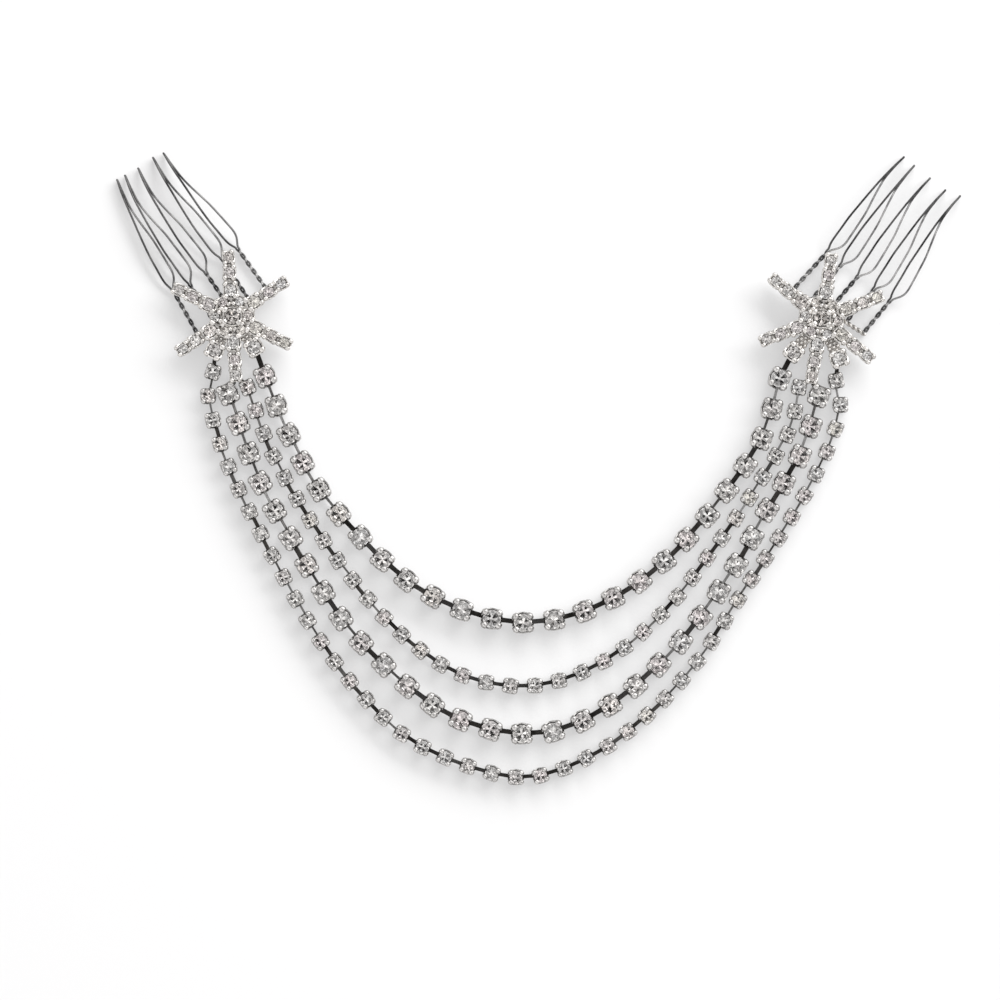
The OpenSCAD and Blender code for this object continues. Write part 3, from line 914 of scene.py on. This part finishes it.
class Tooth:
    """One tooth of a comb: a wire that goes up one side and down the other."""

    def __init__(self, side, k):
        centre, bar, self.tip_power, self.leg_painted_light = COMBS[side]
        stem, stem_share, turn, share, self.sway, self.rise = TEETH[side][k]
        bar = math.radians(bar)
        along = (k - (len(TEETH[side]) - 1) / 2) * TOOTH_PITCH
        self.foot = STAR_AT[side] + Vector((*centre, 0)) * MM + along * heading(bar)
        self.stem = bar + math.pi / 2 + math.radians(stem)
        self.stem_l = STEM_L * stem_share
        self.neck = self.foot + self.stem_l * heading(self.stem)
        self.turn = bar + math.pi / 2 + math.radians(turn)
        self.length = TOOTH_L * share - TIP_R - WIRE_D / 2

    def beside(self, place, direction, along, side, rise):
        """A point so far along a direction from a place, to its left, and over
        the cross bar's middle."""
        return (
            place + along * heading(direction) + side * heading(direction + math.pi / 2)
            + up(BAR_MID + rise))

    def stem_point(self, share, way):
        """A point of one wire of the twisted stem, and its painted light, which grows with how high
        the wire lies there: a painted highlight where it lies on top.
        """
        a = 2 * math.pi * self.stem_l * (share - 1) / TWIST_PITCH
        side = way * TWIST_R * math.cos(a)
        rise = way * TWIST_R * math.sin(a)
        return self.beside(self.foot, self.stem, self.stem_l * share, side, rise), way * math.sin(a)

    def tooth_point(self, share, way):
        """A point of one leg of the open part, and its painted light: a painted highlight on the
        right leg that fades towards the tip, and a little at the tip itself.
        """
        t = max(0, share - TIP_TWIST) / (1 - TIP_TWIST)
        a = math.pi / 2 * t ** self.tip_power
        least = TWIST_R + (TIP_R - TWIST_R) * min(1, share / TIP_TWIST)
        half = max(least, between(TOOTH_FORM, share, 1) * TOOTH_W / 2)
        sway = between(TOOTH_FORM, share, 2) * self.sway * TOOTH_SWAY
        rise = self.rise * TOOTH_RISE * math.sin(math.pi * share)
        place = self.beside(
            self.neck, self.turn, self.length * share,
            sway + way * half * math.cos(a), rise + way * half * math.sin(a))
        # Painted highlight on the right leg, fading towards the tip, and a little at the tip itself.
        leg = self.leg_painted_light * (1 - t) if way < 0 else 0
        return place, leg + TIP_PAINTED_LIGHT * max(0, 2 * t - 1)

    def tip_point(self, share):
        """A point of the bend at the tip, which stands on edge, and its painted light."""
        a = math.pi * share
        along = self.length + TIP_R * math.sin(a)
        return self.beside(self.neck, self.turn, along, 0, TIP_R * math.cos(a)), TIP_PAINTED_LIGHT

    def wire(self):
        """The wire's centre line from the bar to the tip and back."""
        stems = round(self.stem_l / WIRE_STEP)
        opens = round(self.length / WIRE_STEP)
        legs = [
            [self.stem_point(i / stems, way) for i in range(stems)]
            + [self.tooth_point(i / opens, way) for i in range(opens + 1)]
            for way in (1, -1)]
        tip = [self.tip_point(i / TIP_STEPS) for i in range(1, TIP_STEPS)]
        return legs[0] + tip + legs[1][::-1]


def rope(start, end):
    """The centre lines of the two twisted wires of a cross bar, with painted light at each point: a
    painted highlight where a wire lies on top, painted shade where it lies underneath.
    """
    along = (end - start).normalized()
    across = left_of(along)
    length = (end - start).length
    steps = round(length / WIRE_STEP)
    lines = []
    for phase in (0, math.pi):
        line = []
        for i in range(steps + 1):
            s = length * i / steps
            a = phase + 2 * math.pi * s / ROPE_PITCH
            off = math.cos(a) * across + math.sin(a) * up(1)
            # Painted light: highlight on top of the twist, shade underneath.
            line.append((start + s * along + ROPE_D / 2 * off, math.sin(a)))
        lines.append(line)
    return lines


def comb(side):
    """A comb's teeth and cross bar."""
    teeth = [Tooth(side, k) for k in range(len(TEETH[side]))]
    wires = grow(f"comb_{side}_teeth", lines_mesh("teeth", [t.wire() for t in teeth]), WIRE, {
        "Radius": WIRE_D / 2, "Sides": WIRE_SIDES, "Finish": COMB_WIRE})
    ends = [t.foot + up(BAR_MID) for t in (teeth[0], teeth[-1])]
    over = (ends[1] - ends[0]).normalized() * BAR_D / 2
    bar = grow(f"comb_{side}_bar", lines_mesh("bar", rope(ends[0] - over, ends[1] + over)), WIRE, {
        "Radius": ROPE_D / 2, "Sides": ROPE_SIDES, "Finish": STAR_SILVER})
    whole = join(f"comb_{side}_wires", [wires, bar])
    hand_over(whole, "comb_wire", f"comb_{side}")


for side in SIDES:
    comb(side)


# The stars

COMB_PLAY = 0.12 * MM
STAR_BOTTOM = BAR_D + COMB_PLAY
ARMS = 6
# How far a cup's wall bulges behind the prongs, as a share, how much stouter
# the prongs are than a chain's, and where they stand
STAR_SQUARE = 0.14
STAR_STOUT = 1.3
STAR_PRONG_TURN = math.radians(40)
# How much longer outwards and wider across than its stone's seat each cup is
STRETCH = {
    "centre_stone": (1, 1),
    "ring_stones": (1, 1.18),
    "arm_stones": (1.13, 1),
    "hanger_stones": (1.15, 1.26),
}
# The most that cups are spun, and stones and grains leaned
STAR_CUP_SPIN = math.radians(5)
STAR_STONE_LEAN = math.radians(5)
GRAIN_LEAN = math.radians(6)
# The strips, the web on the hangers' strips and the round plate in the middle:
# their bevel, the web's width, how much lower than the strips the web and the
# plate lie, how far the plate's edge slopes in, and their painted light, a little painted shade all
# over
STRIP_EDGE = 0.12 * MM
WEB_W = 2.7 * MM
WEB_DROP = 0.03 * MM
PLATE_DROP = 0.06 * MM
PLATE_SLOPE = 0.2 * MM
PLATE_STEPS = 36
STRIP_PAINTED_LIGHT = 0.75
# Grains on the web: their radius, the pitch of their rows, and the places of
# each one in two rows, in millimetres across the strip
GRAIN_R = 0.5 * MM
GRAIN_PITCH = 0.85 * MM
GRAINS = ((-0.6, 0.5), (-1.05, 0.05, 1.1))
# A grain's outline as radius and height, in grain radii, and its sides
GRAIN_FORM = ((0.9, -0.3), (1, 0.1), (0.92, 0.55), (0.62, 0.95), (0.25, 1.12))
GRAIN_SIDES = 10
GRAIN_CREASE = math.radians(60)


def star_spots(side, name, width, height, tall=1):
    """The seats, at a height, of the star's stones of that name and width."""
    return [
        spot(p + up(height), angle_of(p - STAR_AT[side]), (*STRETCH[name], tall))
        for p, w in SEATS[side][name] if round(w / MM, 3) == width]


def stone_widths(side, name):
    """The widths in millimetres of the star's stones of that name."""
    return sorted({round(w / MM, 3) for _, w in SEATS[side][name]})


def cup_width(stone_width):
    """How wide a star's cup is round a stone."""
    return stone_width + 2 * (CUP_WALL + STAR_STONE_PLAY)


def anchors(side):
    """Where each strand hangs from the star, with the strand's end cup."""
    end = 0 if side == "left" else -1
    low = min((p for p, _ in SEATS[side]["arm_stones"]), key=lambda p: p.y)
    inner, outer = sorted((p for p, _ in SEATS[side]["hanger_stones"]), key=lambda p: abs(p.x))
    return [(node, at, SPOTS[node][end]) for node, at in zip(STRANDS, (inner, low, low, outer))]


def grain_spots(side):
    """Where grains sit in rows on the bare stretch of each hanger's strip."""
    spots = []
    centre = STAR_AT[side]
    start = max((p - centre).length + w / 2 for p, w in SEATS[side]["ring_stones"])
    for p, w in SEATS[side]["hanger_stones"]:
        out = (p - centre).normalized()
        across = left_of(out)
        end = (p - centre).length - w / 2
        rows = round((end - start) / GRAIN_PITCH) + 1
        for k in range(rows):
            for off in GRAINS[k % 2]:
                place = centre + (start + (end - start) * k / (rows - 1)) * out + off * MM * across
                spots.append(spot(place + up(STAR_BOTTOM + STRIP_T), angle_of(out)))
    return spots


def grain_shape():
    """A raised grain, like a pin's head, on the plane z = 0."""
    bm = bmesh.new()
    rings = []
    for r, z in GRAIN_FORM:
        rings.append([
            bm.verts.new(r * GRAIN_R * heading(2 * math.pi * k / GRAIN_SIDES) + up(z * GRAIN_R))
            for k in range(GRAIN_SIDES)])
    skin(bm, rings)
    # Painted light by height: painted shade at the grain's foot, a painted highlight on its top.
    painted_light = bm.verts.layers.float.new("painted_light")
    for v in bm.verts:
        v[painted_light] = max(0, v.co.z / GRAIN_R)
    return shape("grain", bm, crease=GRAIN_CREASE)


def star_bars(side):
    """The strips under a star's arms and hangers, the web on the hangers' strips
    and the round plate in the middle."""
    bm = bmesh.new()
    painted_light = bm.verts.layers.float.new("painted_light")
    centre = STAR_AT[side]
    arms = [p for p, _ in SEATS[side]["arm_stones"]]
    tips = sorted(arms, key=lambda p: (p - centre).length)[-ARMS:]
    hangers = [p for p, _ in SEATS[side]["hanger_stones"]]
    low, high = STAR_BOTTOM, STAR_BOTTOM + STRIP_T
    for end in tips + hangers:
        add_bar(bm, centre, end, STRIP_W, low, high, STRIP_EDGE)
    ring = max((p - centre).length for p, _ in SEATS[side]["ring_stones"])
    for end in hangers:
        start = centre + ring * (end - centre).normalized()
        add_bar(bm, start, end, WEB_W, low, high - WEB_DROP, STRIP_EDGE)
    top = high - PLATE_DROP
    plate = (
        (ring - PLATE_SLOPE, low), (ring, low + STRIP_EDGE),
        (ring, top - STRIP_EDGE), (ring - PLATE_SLOPE, top))
    turns = [math.radians(360 * k / PLATE_STEPS) for k in range(PLATE_STEPS)]
    skin(bm, [[bm.verts.new(centre + r * heading(a) + up(z)) for a in turns] for r, z in plate])
    # The same painted light everywhere on the strips: a little painted shade.
    for v in bm.verts:
        v[painted_light] = STRIP_PAINTED_LIGHT
    made = shape("star_strips", bm, crease=BAR_CREASE)
    made.data.materials.append(STAR_SILVER)
    return made


def star_setting(side):
    """A star's grains, cups and strips."""
    grain = grain_shape()
    scratch.append(grain)
    parts = [seat("grains", grain_spots(side), grain, STAR_SILVER, GRAIN_SEED, lean=GRAIN_LEAN)]
    for name in STAR_STONES:
        for width in stone_widths(side, name):
            made = cup_shape(
                "star_cup", cup_width(width * MM), STAR_CUP_H, STAR_SQUARE,
                STAR_PRONG_TURN, STAR_STOUT)
            scratch.append(made)
            parts.append(seat(
                "star_cups", star_spots(side, name, width, STAR_BOTTOM), made, STAR_SILVER,
                STAR_CUP_SEED + len(parts), spin=STAR_CUP_SPIN))
    parts.append(star_bars(side))
    hand_over(join(f"star_{side}_setting", parts), "star_metal", f"star_setting_{side}")


def star_links(side):
    """The links that a star's strands hang on, each with a post up to its strip."""
    bm = bmesh.new()
    low = CUP_FLOOR + LINK_PLAY
    for node, at, cup in anchors(side):
        kind = STRAND_KIND[node]
        w, t = LINK[kind]
        away = (cup - at).normalized()
        reach = (cup - at).length - link_reach(kind)
        start = at - away * w / 2
        neck = w / 2 + reach - HEAD_L
        add_bar(bm, start, at + away * reach, w, low, low + t, LINK_EDGE, (
            (neck - LINK_EDGE, w), (neck, w + 2 * HEAD_LIP)))
        add_bar(bm, start, at + away * w / 2, w, low, STAR_BOTTOM + STRIP_T / 2, LINK_EDGE)
    made = shape(f"star_{side}_links", bm, crease=BAR_CREASE)
    made.data.materials.append(LINK_BLACK)
    hand_over(made, "link_dark", f"star_setting_{side}")


def star_stones(side, number, name):
    """All of a star's stones of that name. They are stretched like their cups,
    and taller by the mean of it."""
    girdle = STAR_BOTTOM + STAR_CUP_H - GIRDLE_DROP
    tall = sum(STRETCH[name]) / 2
    parts = []
    for width in stone_widths(side, name):
        made = stone_shape("star_stone", width * MM, STAR_CUP_H - GIRDLE_DROP - STRIP_T)
        scratch.append(made)
        parts.append(seat(
            "stones", star_spots(side, name, width, girdle, tall), made, CRYSTAL,
            STAR_STONE_SEED + SEED_STEP * number + len(parts), backing=FOIL, lean=STAR_STONE_LEAN))
    hand_over(join(f"{name}_{side}_cut", parts), "crystal", f"{name}_{side}")


for side in SIDES:
    star_setting(side)
    star_links(side)
    for number, name in enumerate(STAR_STONES):
        star_stones(side, number, name)

for made in scratch:
    bpy.data.objects.remove(made)


# Floor, light and camera

# The floor: half its side in metres, its height, its glow, and its tones, which
# drift over it a little
FLOOR_HALF = 1.5
FLOOR_Z = -0.02 * MM
FLOOR_GLOW = 0.51
FLOOR_TONES = ((0.3, (0.198, 0.198, 0.199)), (0.7, (0.202, 0.202, 0.202)))
# The tent's brightness by height, from the horizon at 0 to straight up at 1.
# Below the horizon it is as at 0
TENT = (
    (0.0, 0.62), (0.002, 0.42), (0.09, 0.42), (0.14, 0.2),
    (0.34, 0.2), (0.42, 1), (0.955, 1), (0.985, 0.3))
TENT_STRENGTH = 1.75
# Where the patchwork of panels and gaps begins, how fine it is, and its tones
PANELS_FROM = 0.38
PANELS_SCALE = 6.0
PANEL_TONES = ((0.45, (0.2, 0.197, 0.2)), (0.51, (0.6, 0.595, 0.6)), (0.58, (1, 1, 1)))
# The key light: its place, size in metres and power in watts, and the bright
# screen round its direction: range of the cosine to it, and brightness
KEY_AT = (1.7, 2.2, 1.0)
KEY_SIZE = (5.5, 1.0)
KEY_POWER = 612
SCREEN_FROM = (0.8, 0.92)
SCREEN_GLOW = 0.9
# The camera looks straight down at this place, and sees this width there
VIEW_AT = Vector((-8.85, -7.23, 0)) * MM
VIEW_W = 230 * MM
LENS = 100
SENSOR = 36
CLIP_END = 10


def floor():
    """A white board that glows as well, which keeps the shadows faint."""
    bm = bmesh.new()
    corners = ((-1, -1), (1, -1), (1, 1), (-1, 1))
    bm.faces.new([bm.verts.new((x * FLOOR_HALF, y * FLOOR_HALF, FLOOR_Z)) for x, y in corners])
    made = shape("floor", bm)
    paper, tree = new_material("white_board")
    tone = ramp(tree, noise(tree, object_place(tree), scale=3.0, detail=2.0), FLOOR_TONES)
    set_shader(tree, {
        "Base Color": tone, "Emission Color": (1, 0.995, 0.995, 1), "Emission Strength": FLOOR_GLOW,
        "Roughness": 0.9, "Specular IOR Level": 0.1})
    made.data.materials.append(paper)


def key_light():
    """A large light behind the chain, to the right. It isn't itself seen, mirrored
    or refracted."""
    data = bpy.data.lights.new("key", "AREA")
    data.shape = "RECTANGLE"
    data.size, data.size_y = KEY_SIZE
    data.energy = KEY_POWER
    made = bpy.data.objects.new("key", data)
    made.location = KEY_AT
    made.rotation_euler = (-Vector(KEY_AT)).to_track_quat("-Z", "Y").to_euler()
    made.visible_camera = False
    made.visible_glossy = False
    made.visible_transmission = False
    bpy.context.scene.collection.objects.link(made)


def studio():
    """A studio tent: white below the horizon, greyer above it, and overhead a
    patchwork of bright panels and dark gaps for the metal and the stones to
    mirror, with a bright screen where the key light stands."""
    world = bpy.data.worlds.new("studio")
    bpy.context.scene.world = world
    world.use_nodes = True
    tree = world.node_tree
    way = node_in(tree, "ShaderNodeTexCoord").outputs["Generated"]
    height = node_in(tree, "ShaderNodeSeparateXYZ", {"Vector": way}).outputs["Z"]
    patches = ramp(tree, noise(tree, way, scale=PANELS_SCALE, detail=1.5), PANEL_TONES)
    by_height = ramp(tree, height, [(place, (grey, grey, grey)) for place, grey in TENT])
    tone = node_in(tree, "ShaderNodeMixRGB", {
        "Fac": maths(tree, "GREATER_THAN", height, PANELS_FROM),
        "Color1": (1, 1, 1, 1), "Color2": patches})
    lit = vector_maths(tree, "MULTIPLY", {0: tone.outputs["Color"], 1: by_height})
    towards = vector_maths(tree, "DOT_PRODUCT", {0: way, 1: Vector(KEY_AT).normalized()}, "Value")
    screen = map_range(tree, towards, SCREEN_FROM, (0.0, SCREEN_GLOW))
    set_inputs(tree, tree.nodes["Background"], {
        "Color": vector_maths(tree, "ADD", {0: lit, 1: screen}), "Strength": TENT_STRENGTH})


def camera():
    """The camera, which looks straight down."""
    data = bpy.data.cameras.new("camera")
    data.lens = LENS
    data.sensor_width = SENSOR
    data.clip_end = CLIP_END
    made = bpy.data.objects.new("camera", data)
    made.location = VIEW_AT + up(VIEW_W * LENS / SENSOR)
    bpy.context.scene.collection.objects.link(made)
    bpy.context.scene.camera = made


floor()
studio()
key_light()
camera()
bpy.context.scene.view_settings.view_transform = "Standard"
